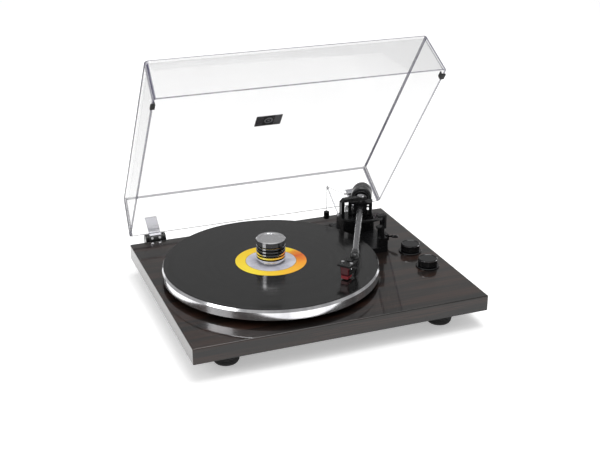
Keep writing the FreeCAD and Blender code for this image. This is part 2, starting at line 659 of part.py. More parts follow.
def yoke():
    """A bracket that rises at the left and reaches over the upright pivot."""
    body = body_of("yoke")
    drawn = sketch_on(body, "yoke_side", "XZ_Plane")
    post = "(yoke_post - pillar_left)"
    top = f"({YOKE_BAR_LOW} + yoke_bar)"
    outline(drawn, [
        ("0 - pillar_left", PILLAR_TOP), (post, PILLAR_TOP), (post, YOKE_BAR_LOW),
        ("yoke_over", YOKE_BAR_LOW), ("yoke_over", top), ("5 - pillar_left", top),
        ("0 - pillar_left", f"{top} - 5")])
    pad = padded(body, drawn, "yoke_deep")
    pad.Midplane = True
    doc.recompute()
    bore_plan = sketch_on(body, "yoke_bore", "XY_Plane")
    ring(bore_plan, "0", "0", "screw_radius")
    pocketed(body, bore_plan, f"{top} + 1")
    settle(body, "arm_across", "arm_deep", "0")
    shank = rod("yoke_screw_shank", "screw_radius", f"{top} - {PILLAR_TOP} - 1 - gimbal_high + gimbal_plate")
    head = rod("yoke_screw_head", "screw_head", "screw_head_high")
    move(shank, "0", "0", f"{PILLAR_TOP} + 1 + gimbal_high - gimbal_plate")
    move(head, "0", "0", top)
    seat = rod("lower_pivot_rod", "screw_radius", "gimbal_plate + 0.6")
    move(seat, "0", "0", PILLAR_TOP)
    settle(group("yaw_pivots", join("pivot_screw", shank, head), seat), "arm_across", "arm_deep", "0")


def anti_skate():
    """The wire hook that the thread runs over, and the weight that hangs beside its eye."""
    across, deep, up = (f"(arm_across - pillar_left - {BOSS_LONG} / 2)",
                        "(arm_deep + yoke_deep / 2 - hook_boss_radius)", f"({PILLAR_TOP} + hook_boss_radius)")
    foot = Vector(number(across), number(deep), number(up))
    eye = Vector(number("hook_across"), number("hook_deep"), number("hook_up"))
    run = eye - foot
    wire = rod("hook_wire", "skate_rod", f"{run.Length} - hook_ring")
    wire.Placement = Placement(foot, Rotation(Vector(0, 0, 1), run))
    eye_ring = make("Torus", "hook_eye", Radius1="hook_ring", Radius2="skate_rod")
    eye_ring.Placement = Placement(eye, about_y(90))
    boss = rod("hook_boss", "hook_boss_radius", BOSS_LONG)
    move(boss, f"arm_across - pillar_left - {BOSS_LONG}", deep, up, about_y(90))
    settle(join("skate_hook", boss, wire, eye_ring), "0", "0", "0")
    bob = turned("skate_weight", [
        ("0", "0"), ("bob_radius - 0.6", "0"), ("bob_radius", "0.6"), ("bob_radius", "bob_high - 0.6"),
        ("bob_radius - 0.6", "bob_high"), ("0", "bob_high")])
    beside = "hook_across - skate_rod - thread_radius - 0.2"
    settle(bob, beside, "hook_deep", "bob_up")
    drop = rod("thread_drop_rod", "thread_radius", "hook_up - bob_up - bob_high - skate_rod")
    settle(group("thread_drop", drop), beside, "hook_deep", "bob_up + bob_high")


# ---- arm rest and lift ----

def arm_rest():
    """An open hook at the parked arm: a cradle below, a wall at the right and a finger above."""
    tube = "tube_radius"
    low = f"(arm_up - {tube} - rest_gap)"
    right = f"(arm_across + {tube} + rest_gap)"
    deep = "(arm_deep - rest_reach)"
    height = f"(2 * {tube} + rest_gap + rest_over)"
    left = f"(arm_across - rest_reach_left)"
    side = f"({right} + rest_wall - {left})"
    cradle = move(box("rest_cradle", side, "rest_deep", "rest_wall"), left, "0 - rest_deep / 2",
                  f"{low} - rest_wall")
    wall = move(box("rest_side", "rest_wall", "rest_deep", f"{height} + 2 * rest_wall"), right,
                "0 - rest_deep / 2", f"{low} - rest_wall")
    finger = move(box("rest_finger", side, "rest_deep", "rest_wall"), left, "0 - rest_deep / 2",
                  f"{low} + {height}")
    post = move(rod("rest_post", "rest_post_radius", f"{low} - 1 - board_high"),
                f"{right} + rest_wall - rest_post_radius - 0.4", "0", "board_high")
    block = move(box("rest_base", "rest_base_wide", "rest_deep", "rest_base_up - board_high"),
                 "tongue_right - rest_base_wide", "0 - rest_deep / 2", "board_high")
    settle(join("arm_rest", cradle, wall, finger, post, block), "0", deep, "0")


def lift():
    """The post that holds the lift rod, with a cheek for the lever, and the curved bar under the arm."""
    bore = "(lift_rod_radius + running_gap)"
    top = "(arm_up - tube_radius - lift_gap)"
    barrel = rod("lift_barrel", "lift_radius", "lift_housing_high")
    cheek = box("lever_cheek", "lift_radius + 1", "lever_ahead + 4.5", "9")
    move(cheek, "0", "0 - lever_ahead - 4.5", "0")
    well = move(rod("lift_well", bore, "lift_housing_high"), "0", "0", "3")
    pivot = move(rod("lever_hole", "lever_radius + running_gap", "lift_radius + 3"), "1",
                 "0 - lever_ahead", "lever_up - board_high", about_y(90))
    housing = cut("lift_housing", join("lift_solid", barrel, cheek), join("lift_cuts", well, pivot))
    settle(housing, "lift_across", "lift_deep", "board_high")
    reach = number("sqrt((lift_across - arm_across)^2 + (lift_deep - arm_deep)^2)")
    stem = rod("lift_stem", "lift_rod_radius", f"{top} - board_high - 4")
    move(stem, "lift_across - arm_across", "lift_deep - arm_deep", "board_high + 4")
    half = "lift_bar_wide / 2"
    band = make("Cylinder", "lift_band", Radius=f"{reach} + {half}", Height="lift_bar_high",
                Angle="lift_span")
    move(band, "0", "0", f"{top} - lift_bar_high", about_z(number("lift_start")))
    inner = rod("lift_band_inside", f"{reach} - {half}", "lift_bar_high + 2")
    move(inner, "0", "0", f"{top} - lift_bar_high - 1")
    bar = cut("lift_bar_band", band, inner)
    settle(join("lift_bar", stem, bar), "arm_across", "arm_deep", "0")


def lever():
    shaft = rod("lever_shaft", "lever_radius", "lift_radius + 4")
    move(shaft, "0", "0", "0", about_y(90))
    arm = rod("lever_arm", "lever_radius * 0.7", "lever_long")
    tilt = about_z(number("lever_swing")) * about_x(90 - number("lever_rise"))
    move(arm, "lift_radius + 3.2", "0", "0", tilt)
    grip = rod("lever_grip_rod", "lever_grip", "lever_grip_long")
    tip = tilt.multVec(Vector(0, 0, number("lever_long") - 1))
    move(grip, f"lift_radius + 3.2 + {tip.x}", f"{tip.y}", f"{tip.z}", tilt)
    settle(join("cue_lever", shaft, arm, grip), "lift_across + 1.5", "lift_deep - lever_ahead", "lever_up")


# ---- lid and hinges: drawn closed about the hinge line, then opened ----

LID_TURN = about_x(-number("lid_open"))


def on_lid(thing):
    settle(thing, "plinth_width / 2", LID_YAW, "0 - hinge_below", LID_TURN)


def leaning_block(name, inset, low, high):
    """A block between two heights whose four sides lean in as the lid's do, inset from its outside."""
    solid = doc.addObject("Part::Wedge", name)
    back = "(hinge_behind + lid_back_inset)"
    bind(solid, Ymin=low, Ymax=high)
    for mark, level in (("", low), ("2", high)):
        side = f"(lid_draft_side / lid_height * {level} + {inset})"
        end = f"(lid_draft_end / lid_height * {level} + {inset})"
        bind(solid, **{
            f"X{mark}min": f"{side} - lid_width / 2", f"X{mark}max": f"lid_width / 2 - {side}",
            f"Z{mark}min": f"{back} + {end}", f"Z{mark}max": f"{back} + lid_depth - {end}"})
    return move(solid, "0", "0", "hinge_below + lid_gap", about_x(90))


def lid():
    """An open box of clear sheet, leaning in towards its top."""
    outer = leaning_block("lid_outer", "0", "0", "lid_height")
    inner = leaning_block("lid_inner", "lid_wall", "(0 - 1)", "(lid_height - lid_wall)")
    on_lid(cut("lid", outer, inner))


def hinges():
    """Two fixed bases with ears, and the turning knuckles whose blades stand in sockets on the lid."""
    bases, pins, leaves, sockets, base_bolts, leaf_bolts = [], [], [], [], [], []
    half = "hinge_wide / 2"
    inner = "(hinge_wide / 2 - hinge_ear - hinge_ear_gap)"
    plate_top = "(0 - hinge_knuckle - hinge_plate_below)"
    blade_back = "(hinge_behind + lid_back_inset - socket_thick / 2 - blade_thick / 2)"
    socket_low = "(hinge_knuckle + 0.6)"
    screw_reach = "(hinge_knuckle - leaf_screw_deep)"
    for place, sign in (("left", -1), ("right", 1)):
        middle = f"({sign} * (plinth_width / 2 - hinge_across))"
        ears = []
        for side in (-1, 1):
            start = f"{middle} - {half}" if side < 0 else f"{middle} + {half} - hinge_ear"
            disc = rod(f"ear_disc_{place}_{side + 1}", "hinge_knuckle", "hinge_ear")
            move(disc, start, "0", "0", about_y(90))
            web = box(f"ear_web_{place}_{side + 1}", "hinge_ear", "hinge_behind", f"hinge_drop - {plate_top}")
            move(web, start, "0 - hinge_behind", f"{plate_top} - hinge_drop")
            ears += [disc, web]
        plate = box("hinge_plate_" + place, "hinge_wide", "hinge_plate", "hinge_drop")
        move(plate, f"{middle} - {half}", "0 - hinge_behind", f"{plate_top} - hinge_drop")
        bore = rod("hinge_bore_" + place, "hinge_pin", "hinge_wide + 2")
        move(bore, f"{middle} - {half} - 1", "0", "0", about_y(90))
        bases.append(cut("hinge_base_" + place, join("hinge_solid_" + place, plate, *ears), bore))
        pins.append(move(rod("hinge_pin_rod_" + place, "hinge_pin", "hinge_wide"), f"{middle} - {half}", "0",
                         "0", about_y(90)))
        knuckle = rod("knuckle_" + place, "hinge_knuckle", f"2 * {inner}")
        move(knuckle, f"{middle} - {inner}", "0", "0", about_y(90))
        blade = box("leaf_blade_" + place, "blade_wide", "blade_thick", "socket_high + hinge_knuckle")
        move(blade, f"{middle} - blade_wide / 2", f"0 - {blade_back} - blade_thick", "blade_low")
        bores = [move(rod("leaf_bore_" + place, "hinge_pin + running_gap", f"2 * {inner} + 2"),
                      f"{middle} - {inner} - 1", "0", "0", about_y(90))]
        case = box("socket_case_" + place, "socket_wide", "socket_thick + lid_draft_end", "socket_high")
        move(case, f"{middle} - socket_wide / 2", f"0 - hinge_behind - lid_back_inset - lid_draft_end",
             socket_low)
        gap = box("socket_gap_" + place, "blade_wide", "blade_thick", "socket_high + hinge_knuckle")
        move(gap, f"{middle} - blade_wide / 2", f"0 - {blade_back} - blade_thick", "blade_low")
        wall = leaning_block("socket_seat_" + place, "0", "0", "lid_height")
        sockets.append(cut("hinge_socket_" + place, case, join("socket_cuts_" + place, gap, wall)))
        for side in (-1, 1):
            spot = f"{middle} + {side} * hinge_screw_apart / 2"
            base_screw = rod(f"base_screw_{place}_{side + 1}", "2.4", "1.2")
            move(base_screw, spot, "0 - hinge_behind + hinge_plate", f"{plate_top} - hinge_drop / 2",
                 about_x(-90))
            base_bolts.append(base_screw)
            for made, deep in ((leaf_bolts, "leaf_screw_deep + leaf_screw_proud"), (bores, "6")):
                screw = rod(f"leaf_screw_{place}_{side + 1}_{len(made)}", "leaf_screw_radius", deep)
                made.append(move(screw, spot, f"0 - {screw_reach} * cos(leaf_screw_turn)",
                                 f"0 - {screw_reach} * sin(leaf_screw_turn)",
                                 about_x(90 + number("leaf_screw_turn"))))
        leaves.append(cut("hinge_leaf_" + place, join("leaf_solid_" + place, knuckle, blade),
                          join("leaf_cuts_" + place, *bores)))
    for name, pieces in (("hinge_bases", bases), ("hinge_pins", pins), ("hinge_base_screws", base_bolts)):
        settle(group(name, *pieces), "plinth_width / 2", LID_YAW, "0 - hinge_below")
    for name, pieces in (("hinge_leaves", leaves), ("hinge_sockets", sockets),
                         ("hinge_leaf_screws", leaf_bolts)):
        on_lid(group(name, *pieces))


def lid_trim():
    front = "(0 - hinge_behind - lid_back_inset - lid_depth)"
    rim = "(hinge_below + lid_gap)"
    bumpers = []
    for place, sign in (("left", -1), ("right", 1)):
        pad = box("bumper_pad_" + place, "lid_wall + 2 * 1.3", "bumper_wide", "bumper_thick")
        edge = "(lid_width / 2)"
        start = f"0 - {edge} - 1.3" if sign < 0 else f"{edge} - lid_wall - 1.3"
        move(pad, start, f"{front} + bumper_front - bumper_wide / 2", f"{rim} - bumper_thick")
        inner = box("bumper_inner_" + place, "1.2", "bumper_wide", "7")
        shift = f"0 - {edge} + lid_wall + 0.6" if sign < 0 else f"{edge} - lid_wall - 1.8"
        move(inner, shift, f"{front} + bumper_front - bumper_wide / 2", f"{rim} - bumper_thick")
        bumpers.append(join("lid_bumper_" + place, pad, inner))
    on_lid(group("lid_bumpers", *bumpers))
    badge = box("badge_plate", "badge_wide", "badge_deep", "badge_thick")
    move(badge, "0 - badge_wide / 2", f"{front} + lid_depth / 2 - badge_deep / 2",
         f"{rim} + lid_height")
    on_lid(group("lid_badge", badge))


# ---- rear panel and electronics ----

def rear_panel():
    right = "(plinth_width - panel_right)"
    up = "(cover_thick + cover_gap - plinth_height)"
    plate = box("panel_plate", "panel_wide", "panel_thick", "panel_high")
    move(plate, f"{right} - panel_wide", "plinth_depth - panel_thick - 1", up)
    middle = f"({up} + panel_high / 2)"
    spots = {"jack_left": "14", "jack_right": "14 + jack_pitch", "ground_post": "54", "inlet": "80"}
    holes = []
    for name, spot in spots.items():
        radius = {"ground_post": "1.5", "inlet": "inlet_hole + 0.6"}.get(name, "jack_radius")
        hole = rod("panel_hole_" + name, radius, "panel_thick + 2")
        holes.append(move(hole, f"{right} - panel_wide + {spot}", "plinth_depth - panel_thick - 2", middle,
                          about_x(-90)))
    settle(cut("rear_panel", plate, join("panel_holes", *holes)), "0", "0", "0")
    jacks = []
    for name in ("jack_left", "jack_right"):
        corners = [("jack_hole", "0"), ("jack_radius", "0"), ("jack_radius", "panel_thick"),
                   ("jack_nut", "panel_thick"), ("jack_nut", "panel_thick + 1.4"),
                   ("jack_radius", "panel_thick + 1.4"), ("jack_radius", "panel_thick + jack_long"),
                   ("jack_hole", "panel_thick + jack_long")]
        jack = turned(name, corners)
        jacks.append(move(jack, f"{right} - panel_wide + {spots[name]}", "plinth_depth - panel_thick - 1",
                          middle, about_x(-90)))
    settle(group("signal_jacks", *jacks), "0", "0", "0")
    post = turned("ground_post", [
        ("0", "0"), ("1.5", "0"), ("1.5", "panel_thick + 2"), ("post_radius", "panel_thick + 2"),
        ("post_radius", "panel_thick + 8"), ("0", "panel_thick + 8")])
    settle(post, f"{right} - panel_wide + {spots['ground_post']}", "plinth_depth - panel_thick - 1", middle,
           about_x(-90))
    inlet = turned("power_inlet", [
        ("0", "0"), ("inlet_hole + 0.6", "0"), ("inlet_hole + 0.6", "10"), ("inlet_hole", "10"),
        ("inlet_hole", "1.5"), ("inlet_pin", "1.5"), ("inlet_pin", "9"), ("0", "9")])
    settle(inlet, f"{right} - panel_wide + {spots['inlet']}", "plinth_depth - panel_thick - 8.8", middle,
           about_x(-90))


def electronics():
    low = "(cover_thick - plinth_height)"
    right = "(plinth_width - panel_right)"
    card = box("card", "board_wide", "board_deep_size", "board_thin")
    move(card, f"{right} - board_wide - 4", "plinth_depth - plinth_wall - board_deep_size - 8",
         f"{low} + 4")
    legs = []
    front = "(plinth_depth - plinth_wall - board_deep_size - 4)"
    for i in (0, 1):
        for j in (0, 1):
            leg = rod(f"standoff_{i}{j}", "standoff_radius", "4")
            legs.append(move(leg, f"{right} - board_wide + {i} * (board_wide - 8)",
                             f"{front} + {j} * (board_deep_size - 8)", low))
    settle(join("circuit_board", card, *legs), "0", "0", "0")


for build in (plinth, cover, feet, platter, sub_platter, spindle, bearing, motor, belt, record, stabiliser,
              knobs, arm_tube, counterweight, headshell, cartridge, gimbal, arm_board, pillar, yoke,
              anti_skate, arm_rest, lift, lever, lid, hinges, lid_trim, rear_panel, electronics):
    build()
doc.recompute()

faults = [o.Name for o in doc.Objects if {"Invalid", "Error"} & set(o.State)]
faults += [o.Name for o in NODES if o.Shape.isNull() or not o.Shape.isValid()]
if faults:
    raise ValueError("not built: " + ", ".join(faults))
for node in NODES:
    node.Label = node.Name
    node.Shape.exportStep(f"parts/{node.Label}.step")
print(len(NODES), "nodes")
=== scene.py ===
import json
import math

import bmesh
import bpy
import numpy as np
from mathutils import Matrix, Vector


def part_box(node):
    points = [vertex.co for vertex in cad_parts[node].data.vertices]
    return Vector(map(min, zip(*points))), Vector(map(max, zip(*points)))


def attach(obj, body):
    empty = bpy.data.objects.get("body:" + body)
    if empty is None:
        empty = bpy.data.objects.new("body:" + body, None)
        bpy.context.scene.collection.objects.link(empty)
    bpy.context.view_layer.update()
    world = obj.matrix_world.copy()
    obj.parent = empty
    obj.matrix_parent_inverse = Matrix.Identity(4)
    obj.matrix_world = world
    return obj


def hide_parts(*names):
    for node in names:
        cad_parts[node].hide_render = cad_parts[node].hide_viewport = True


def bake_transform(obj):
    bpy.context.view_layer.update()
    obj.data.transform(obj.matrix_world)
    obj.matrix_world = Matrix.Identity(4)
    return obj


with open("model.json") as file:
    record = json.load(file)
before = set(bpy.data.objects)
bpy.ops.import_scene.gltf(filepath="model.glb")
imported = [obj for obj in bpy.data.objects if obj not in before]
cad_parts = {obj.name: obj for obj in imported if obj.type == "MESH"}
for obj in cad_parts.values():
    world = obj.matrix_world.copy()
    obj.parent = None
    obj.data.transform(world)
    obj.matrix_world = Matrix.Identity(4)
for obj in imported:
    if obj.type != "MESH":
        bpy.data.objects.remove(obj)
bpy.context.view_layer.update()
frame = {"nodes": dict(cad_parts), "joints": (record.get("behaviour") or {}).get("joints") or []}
MM = 0.001


def joint(name):
    return next(j for j in frame["joints"] if j["name"] == name)


PIVOT = np.array(joint("arm_pitch")["pos_m"])
ARM_TURN = math.radians(26.4)
SHELL_TURN = math.radians(26.4 + 24)
BEND = PIVOT + 0.188 * np.array([-math.sin(ARM_TURN), -math.cos(ARM_TURN), 0])
HINGE = np.array(joint("lid_hinge")["pos_m"])
LID_OPEN = math.radians(53.14)
SPINDLE = np.array(joint("platter_spin")["pos_m"])


# ---- camera, floor and light ----

camera = bpy.data.objects.new("camera", bpy.data.cameras.new("camera"))
camera.location = (-0.5030, -1.3328, 0.6999)
camera.rotation_euler = (math.radians(67.30), 0, math.radians(-21.07))
camera.data.lens = 64.70
camera.data.sensor_width = 36
bpy.context.scene.collection.objects.link(camera)
bpy.context.scene.camera = camera


def node(tree, kind, **values):
    """Add a shader node; inputs are named with spaces as underscores or given by number as i0, i1."""
    made = tree.nodes.new("ShaderNode" + kind)
    for word, value in values.items():
        if hasattr(made, word) and not word.startswith("i"):
            setattr(made, word, value)
            continue
        key = int(word[1:]) if word[0] == "i" and word[1:].isdigit() else word.replace("_", " ")
        if isinstance(value, bpy.types.NodeSocket):
            tree.links.new(value, made.inputs[key])
        else:
            made.inputs[key].default_value = value
    return made


def maths(tree, operation, *values):
    return node(tree, "Math", operation=operation, **{f"i{i}": v for i, v in enumerate(values)}).outputs[0]


def ramp(tree, fac, *stops):
    """A colour ramp from (place, grey or colour) stops."""
    made = node(tree, "ValToRGB", i0=fac)
    band = made.color_ramp
    for i, (place, colour) in enumerate(stops):
        stop = band.elements[i] if i < 2 else band.elements.new(place)
        stop.position = place
        stop.color = (*colour, 1) if isinstance(colour, tuple) else (colour, colour, colour, 1)
    return made.outputs[0]


def world_light():
    """White behind the object; to reflections a bright dome with a few soft grey bands."""
    world = bpy.data.worlds.new("studio")
    bpy.context.scene.world = world
    world.use_nodes = True
    tree = world.node_tree
    tree.nodes.clear()
    way = node(tree, "TexCoord").outputs["Generated"]
    parts = node(tree, "SeparateXYZ", i0=way)
    turn = maths(tree, "ARCTAN2", parts.outputs[1], parts.outputs[0])
    place = maths(tree, "MULTIPLY_ADD", turn, 0.5 / math.pi, 0.5)
    bands = ramp(tree, place, (0.0, 0.30), (0.10, 0.15), (0.16, 0.05), (0.20, 1.3), (0.24, 0.10), (0.31,
                                                                                                   0.06),
                 (0.36, 1.2), (0.42, 1.0), (0.46, 0.08), (0.55, 0.30), (0.66, 0.45), (0.76, 0.42), (0.86,
                                                                                                    0.40),
                 (0.93, 0.10), (1.0, 0.30))
    height = ramp(tree, parts.outputs[2], (0.0, 0.40), (0.30, 0.42), (0.60, 0.35), (1.0, 0.9))
    low = node(tree, "MapRange", Value=parts.outputs[2], From_Min=0.10, From_Max=0.30).outputs[0]
    shade = node(tree, "Mix", data_type="RGBA", i0=low, i6=bands, i7=height).outputs[2]
    seen = node(tree, "LightPath").outputs["Is Camera Ray"]
    colour = node(tree, "Mix", data_type="RGBA", i0=seen, i6=shade, i7=(1, 1, 1, 1)).outputs[2]
    sky = node(tree, "Background", Color=colour, Strength=1.0)
    out = node(tree, "OutputWorld")
    tree.links.new(sky.outputs[0], out.inputs[0])


def lamp(name, place, aim, size, power):
    light = bpy.data.lights.new(name, "AREA")
    light.shape = "RECTANGLE"
    light.size, light.size_y = size
    light.energy = power
    thing = bpy.data.objects.new(name, light)
    thing.location = place
    thing.rotation_euler = (Vector(aim) - Vector(place)).to_track_quat("-Z", "Y").to_euler()
    bpy.context.scene.collection.objects.link(thing)


world_light()
lamp("overhead_softbox", (0.3, 0.2, 2.3), (0, 0, 0), (1.7, 1.2), 34)
lamp("left_softbox", (-1.9, -0.6, 1.3), (0, 0, 0.05), (1.0, 0.9), 11)
bpy.context.scene.view_settings.view_transform = "Standard"


# ---- finishes ----

def finish(name, colour, roughness, metallic=0.0, **fixed):
    """A shader with its fixed values on its own sockets; returns the material, its tree and the shader."""
    material = bpy.data.materials.new(name)
    material.use_nodes = True
    tree = material.node_tree
    shader = tree.nodes["Principled BSDF"]
    shader.inputs["Base Color"].default_value = (*colour, 1)
    shader.inputs["Roughness"].default_value = roughness
    shader.inputs["Metallic"].default_value = metallic
    for word, value in fixed.items():
        shader.inputs[word.replace("_", " ")].default_value = value
    return material, tree, shader


def grain(tree, scale, detail=4.0, stretch=(1, 1, 1)):
    """Noise over the piece's own place, drawn out by a stretch along each axis."""
    place = node(tree, "TexCoord").outputs["Object"]
    mapped = node(tree, "Mapping", Vector=place, Scale=stretch).outputs[0]
    return node(tree, "TexNoise", Vector=mapped, Scale=scale, Detail=detail).outputs[0]


def rough_and_bump(tree, shader, fac, low, high, height, distance=0.0002):
    """Vary the roughness between two values and raise the surface with the same pattern."""
    spread = node(tree, "MapRange", Value=fac, To_Min=low, To_Max=high).outputs[0]
    tree.links.new(spread, shader.inputs["Roughness"])
    bump = node(tree, "Bump", Height=fac, Strength=height, Distance=distance)
    tree.links.new(bump.outputs[0], shader.inputs["Normal"])


def plastic(name, colour, low, high, height=0.12, scale=900.0, **fixed):
    material, tree, shader = finish(name, colour, (low + high) / 2, **fixed)
    cloud = grain(tree, scale)
    rough_and_bump(tree, shader, cloud, low, high, height)
    wide = grain(tree, 25.0)
    shade = ramp(tree, wide, (0.3, tuple(c * 0.75 for c in colour)),
                 (0.7, tuple(min(1, c * 1.3) for c in colour)))
    tree.links.new(shade, shader.inputs["Base Color"])
    return material


def metal(name, colour, low, high, stretch=(1, 1, 1), scale=400.0, height=0.05):
    material, tree, shader = finish(name, colour, (low + high) / 2, 1.0)
    streaks = grain(tree, scale, 6.0, stretch)
    rough_and_bump(tree, shader, streaks, low, high, height, 0.0001)
    shade = ramp(tree, streaks, (0.3, tuple(c * 0.88 for c in colour)), (0.7, colour))
    tree.links.new(shade, shader.inputs["Base Color"])
    return material


def dark_walnut():
    """Streaks of red-brown in near-black wood, long along the width, under thick mirror lacquer."""
    material, tree, shader = finish("dark_walnut_lacquer", (0.02, 0.012, 0.01), 0.35, Coat_Weight=1.0,
                                    Coat_Roughness=0.015, Coat_IOR=1.42, Specular_IOR_Level=0.2)
    wide = grain(tree, 9.0, 3.0, (0.5, 6.0, 9.0))
    fine = grain(tree, 60.0, 6.0, (0.25, 9.0, 14.0))
    both = maths(tree, "MULTIPLY_ADD", fine, 0.45, maths(tree, "MULTIPLY", wide, 0.62))
    shade = ramp(tree, both, (0.40, (0.0035, 0.0030, 0.0028)), (0.52, (0.009, 0.0055, 0.0042)),
                 (0.62, (0.026, 0.0115, 0.0075)), (0.72, (0.007, 0.0045, 0.0037)))
    tree.links.new(shade, shader.inputs["Base Color"])
    return material


def round_the_spindle(tree):
    """How far a point is from the spindle's axis, and its turn about it as 0 to 1."""
    parts = node(tree, "SeparateXYZ", i0=node(tree, "TexCoord").outputs["Object"])
    across = maths(tree, "SUBTRACT", parts.outputs[0], float(SPINDLE[0]))
    deep = maths(tree, "SUBTRACT", parts.outputs[1], float(SPINDLE[1]))
    far = maths(tree, "SQRT", maths(tree, "MULTIPLY_ADD", across, across, maths(tree, "MULTIPLY", deep,
                                                                                deep)))
    turn = maths(tree, "MULTIPLY_ADD", maths(tree, "ARCTAN2", deep, across), 0.5 / math.pi, 0.5)
    return far, turn


def vinyl():
    """Grooves as fine rings whose gloss and height change with the distance from the spindle; the colour too
    goes lighter and darker in bands with that distance as painted sheen.
    """
    material, tree, shader = finish("record_vinyl", (0.005, 0.005, 0.005), 0.12, Specular_IOR_Level=0.6)
    far = round_the_spindle(tree)[0]
    fine = node(tree, "TexNoise", noise_dimensions="1D", W=far, Scale=2600.0, Detail=3.0).outputs[0]
    bands = node(tree, "TexNoise", noise_dimensions="1D", W=far, Scale=160.0, Detail=2.0).outputs[0]
    both = maths(tree, "MULTIPLY_ADD", fine, 0.5, maths(tree, "MULTIPLY", bands, 0.5))
    rough_and_bump(tree, shader, both, 0.06, 0.20, 0.10, 0.00005)
    # painted sheen: the near-black colour goes lighter and darker in rings with the distance from the spindle
    shade = ramp(tree, bands, (0.35, 0.004), (0.65, 0.009))
    tree.links.new(shade, shader.inputs["Base Color"])
    return material


def label_paper():
    """A yellow ring that turns orange and red on one side, round a pale disc."""
    material, tree, shader = finish("printed_label", (0.9, 0.7, 0.1), 0.5)
    far, turn = round_the_spindle(tree)
    cloud = grain(tree, 70.0, 3.0)
    wave = maths(tree, "FRACT", maths(tree, "MULTIPLY_ADD", cloud, 0.10, maths(tree, "ADD", turn, 0.36)))
    ring = ramp(tree, wave, (0.00, (0.82, 0.60, 0.02)), (0.20, (0.80, 0.52, 0.01)), (0.50, (0.84, 0.66,
                                                                                            0.03)),
                (0.84, (0.80, 0.30, 0.01)), (0.92, (0.62, 0.09, 0.01)), (1.0, (0.80, 0.42, 0.01)))
    pale = ramp(tree, cloud, (0.3, (0.40, 0.40, 0.47)), (0.7, (0.58, 0.58, 0.64)))
    inside = maths(tree, "LESS_THAN", far, 0.036)
    edge = maths(tree, "MULTIPLY", maths(tree, "GREATER_THAN", far, 0.0352), inside)
    mixed = node(tree, "Mix", data_type="RGBA", i0=inside, i6=ring, i7=pale).outputs[2]
    lined = node(tree, "Mix", data_type="RGBA", i0=edge, i6=mixed, i7=(0.35, 0.22, 0.02, 1)).outputs[2]
    tree.links.new(lined, shader.inputs["Base Color"])
    rough_and_bump(tree, shader, grain(tree, 1500.0), 0.42, 0.6, 0.05, 0.0001)
    return material


def platter_metal():
    """Polished metal with turning marks round the axis and changes of gloss along the wall; its colour goes
    lighter and darker in blocks round the axis as painted reflection.
    """
    material, tree, shader = finish("turned_aluminium", (0.82, 0.82, 0.84), 0.14, 1.0)
    far, turn = round_the_spindle(tree)
    rise = node(tree, "SeparateXYZ", i0=node(tree, "TexCoord").outputs["Object"]).outputs[2]
    fine = node(tree, "TexNoise", noise_dimensions="1D", W=maths(tree, "ADD", rise, far),
                Scale=4000.0).outputs[0]
    gloss_and_painted_reflection_blocks = node(tree, "TexNoise", noise_dimensions="1D", W=turn, Scale=26.0, Detail=3.0).outputs[0]
    rough_and_bump(tree, shader, maths(tree, "MULTIPLY_ADD", fine, 0.3, maths(tree, "MULTIPLY", gloss_and_painted_reflection_blocks, 0.7)),
                   0.06, 0.24, 0.05, 0.00005)
    # painted reflection: the colour goes lighter and darker in blocks round the axis, standing for reflected
    # light and dark
    shade = ramp(tree, gloss_and_painted_reflection_blocks, (0.35, (0.62, 0.62, 0.64)), (0.60, (0.86, 0.86, 0.88)))
    tree.links.new(shade, shader.inputs["Base Color"])
    return material


def clear_sheet(name, tint, shine, roughness=0.03):
    """Clear sheet: light goes straight through, a little tinted, under a gloss that grows at a slant."""
    material = bpy.data.materials.new(name)
    material.use_nodes = True
    tree = material.node_tree
    shader = tree.nodes["Principled BSDF"]
    shader.inputs["Base Color"].default_value = (*tint, 1)
    shader.inputs["Roughness"].default_value = roughness
    slant = node(tree, "LayerWeight", Blend=0.25).outputs["Fresnel"]
    dust = grain(tree, 12.0, 3.0)
    fac = maths(tree, "MULTIPLY_ADD", slant, shine[1], maths(tree, "MULTIPLY_ADD", dust, 0.02, shine[0]))
    tree.links.new(fac, shader.inputs["Alpha"])
    return material


def hinge_leaf_finish():
    """Black plastic near the hinge pin and satin steel further out, where the blade stands."""
    material, tree, shader = finish("hinge_leaf_black_and_steel", (0.02, 0.02, 0.02), 0.35)
    parts = node(tree, "SeparateXYZ", i0=node(tree, "TexCoord").outputs["Object"])
    deep = maths(tree, "SUBTRACT", parts.outputs[1], float(HINGE[1]))
    up = maths(tree, "SUBTRACT", parts.outputs[2], float(HINGE[2]))
    far = maths(tree, "SQRT", maths(tree, "MULTIPLY_ADD", deep, deep, maths(tree, "MULTIPLY", up, up)))
    steel = maths(tree, "GREATER_THAN", far, 0.0088)
    shade = node(tree, "Mix", data_type="RGBA", i0=steel, i6=(0.012, 0.012, 0.012, 1), i7=(0.33, 0.33, 0.35,
                                                                                           1))
    tree.links.new(shade.outputs[2], shader.inputs["Base Color"])
    tree.links.new(maths(tree, "MULTIPLY", steel, 0.9), shader.inputs["Metallic"])
    rough_and_bump(tree, shader, grain(tree, 700.0), 0.25, 0.45, 0.08)
    return material


